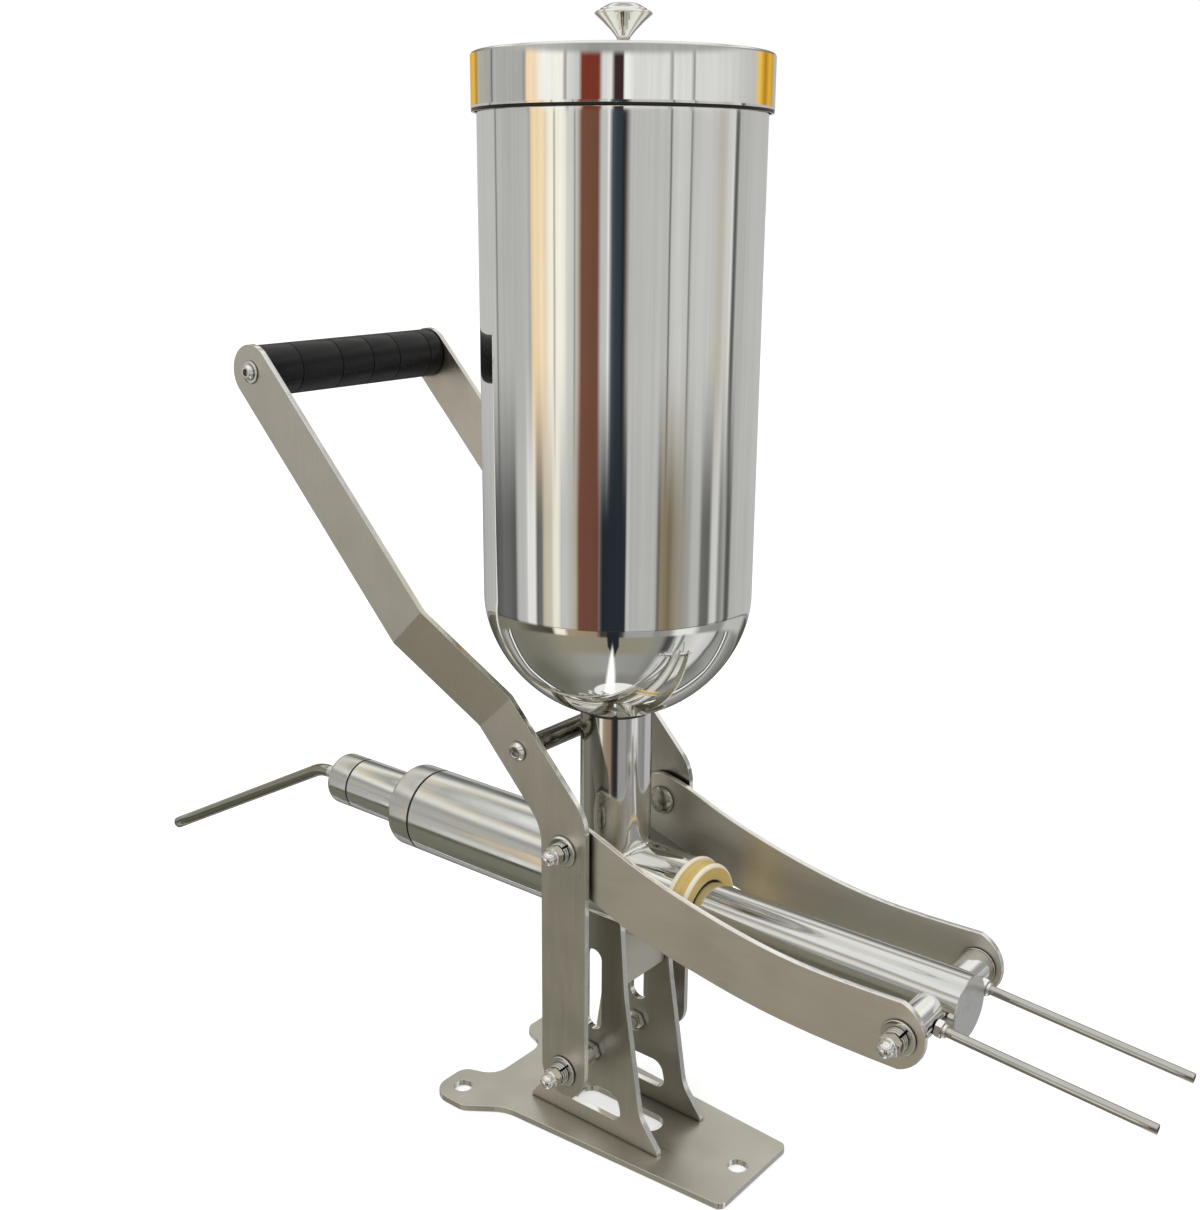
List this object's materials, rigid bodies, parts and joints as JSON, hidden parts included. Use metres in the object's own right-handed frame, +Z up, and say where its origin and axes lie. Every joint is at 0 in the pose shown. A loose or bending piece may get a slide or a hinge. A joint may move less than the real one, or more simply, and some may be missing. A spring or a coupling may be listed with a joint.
{
  "type": "donut filler machine",
  "caption": "Hand-worked donut filler: tall round hopper on a horizontal plunger pump, yoke lever with cross grip, curved links, thin straight nozzles in front and a bent outlet behind.",
  "frame": {"origin": "centre of the front fixing hole, at the underside of the base plate", "axes": "+X towards the straight nozzles, +Y across the machine, +Z up"},
  "size_m": [0.7744, 0.1584, 0.6454],
  "materials": {
    "satin_steel": "satin, long brush lines",
    "turned_steel": "turned and lightly brushed",
    "tube_steel": "drawn and polished",
    "mirror_steel": "mirror polished",
    "dark_bar": "dark polished",
    "fastener_steel": "bright",
    "amber_polymer": "turned, semi-gloss",
    "white_polymer": "turned, satin",
    "black_seal": "matt",
    "black_grip": "satin"
  },
  "bodies": {
    "frame": {"base_plate": "satin_steel", "end_cap_seal": "black_seal", "flange_gasket": "black_seal", "front_web": "satin_steel", "gland_bushing": "amber_polymer", "gland_seat_ring": "white_polymer", "hopper": "mirror_steel", "hopper_spigot": "mirror_steel", "lever_pivot_cap_nuts": "fastener_steel", "lever_pivot_inner_nuts": "fastener_steel", "lever_pivot_spacers": "fastener_steel", "lever_pivot_spring_washers": "fastener_steel", "lever_pivot_studs": "fastener_steel", "lever_pivot_washers": "fastener_steel", "neck_gasket": "black_seal", "neck_tube": "turned_steel", "nozzle_swivel_seal": "black_seal", "outlet_end_cap": "turned_steel", "outlet_flange_cap": "turned_steel", "outlet_valve_body": "turned_steel", "outlet_valve_spring": "fastener_steel", "pump_cylinder": "turned_steel", "rod_seals": "black_seal", "rod_wiper_ring": "white_polymer", "side_bracket_far": "satin_steel", "side_bracket_near": "satin_steel"},
    "lever": {"lever_arm_near": "satin_steel", "lever_arm_far": "satin_steel", "grip": "black_grip", "grip_tie_rod": "fastener_steel", "grip_screws": "fastener_steel", "grip_washers": "fastener_steel", "crossbar": "dark_bar", "crossbar_screws": "fastener_steel", "link_pivot_bolts": "fastener_steel", "link_pivot_spacers": "fastener_steel", "link_pivot_washers": "fastener_steel", "link_pivot_spring_washers": "fastener_steel", "link_pivot_cap_nuts": "fastener_steel"},
    "link_near": {"link_near": "satin_steel"},
    "link_far": {"link_far": "satin_steel"},
    "plunger": {"plunger_rod": "turned_steel", "piston_head": "white_polymer", "piston_seals": "black_seal", "plunger_valve_spring": "fastener_steel", "crosshead_bar": "turned_steel", "crosshead_inner_washers": "fastener_steel", "crosshead_washers": "fastener_steel", "crosshead_spring_washers": "fastener_steel", "crosshead_cap_nuts": "fastener_steel", "nozzle_near": "tube_steel", "nozzle_far": "tube_steel", "nozzle_nuts": "fastener_steel", "nozzle_nut_rings": "fastener_steel"},
    "plunger_ball": {"plunger_valve_ball": "fastener_steel"},
    "outlet_ball": {"outlet_valve_ball": "fastener_steel"},
    "lid": {"lid": "mirror_steel", "lid_knob": "mirror_steel", "lid_knob_screw": "fastener_steel"},
    "bent_tube": {"bent_nozzle": "tube_steel"}
  },
  "joints": [
    {"name": "lever_pivot", "type": "hinge", "parent": "frame", "child": "lever", "pos_m": [-0.0905, 0, 0.056], "axis": [0, -1, 0], "range_deg": [0, 32]},
    {"name": "plunger_slide", "type": "slide", "parent": "frame", "child": "plunger", "axis": [1, 0, 0], "range_m": [-0.0719, 0]},
    {"name": "link_near_pivot", "type": "hinge", "parent": "lever", "child": "link_near", "pos_m": [-0.0905, 0, 0.197], "axis": [0, -1, 0], "range_deg": [-26.4, 0]},
    {"name": "link_far_pivot", "type": "hinge", "parent": "lever", "child": "link_far", "pos_m": [-0.0905, 0, 0.197], "axis": [0, -1, 0], "range_deg": [-26.4, 0]},
    {"name": "lid_lift", "type": "slide", "parent": "frame", "child": "lid", "axis": [0, 0, 1], "range_m": [0, 0.12]},
    {"name": "bent_tube_swivel", "type": "hinge", "parent": "frame", "child": "bent_tube", "pos_m": [-0.3325, 0, 0.1605], "axis": [1, 0, 0], "range_deg": [-90, 90]},
    {"name": "outlet_valve_lift", "type": "slide", "parent": "frame", "child": "outlet_ball", "axis": [-1, 0, 0], "range_m": [0, 0.004], "stiffness_N_per_m": 120, "springref_m": -0.004, "deforming": ["outlet_valve_spring"]},
    {"name": "plunger_valve_lift", "type": "slide", "parent": "plunger", "child": "plunger_ball", "axis": [1, 0, 0], "range_m": [0, 0.003], "stiffness_N_per_m": 60, "springref_m": -0.003, "deforming": ["plunger_valve_spring"]}
  ],
  "couplings": [
    {"joint": "plunger_slide", "follows": "lever_pivot", "m_per_rad": -0.12874},
    {"joint": "link_near_pivot", "follows": "lever_pivot", "ratio": -0.81824},
    {"joint": "link_far_pivot", "follows": "lever_pivot", "ratio": -0.81824}
  ]
}
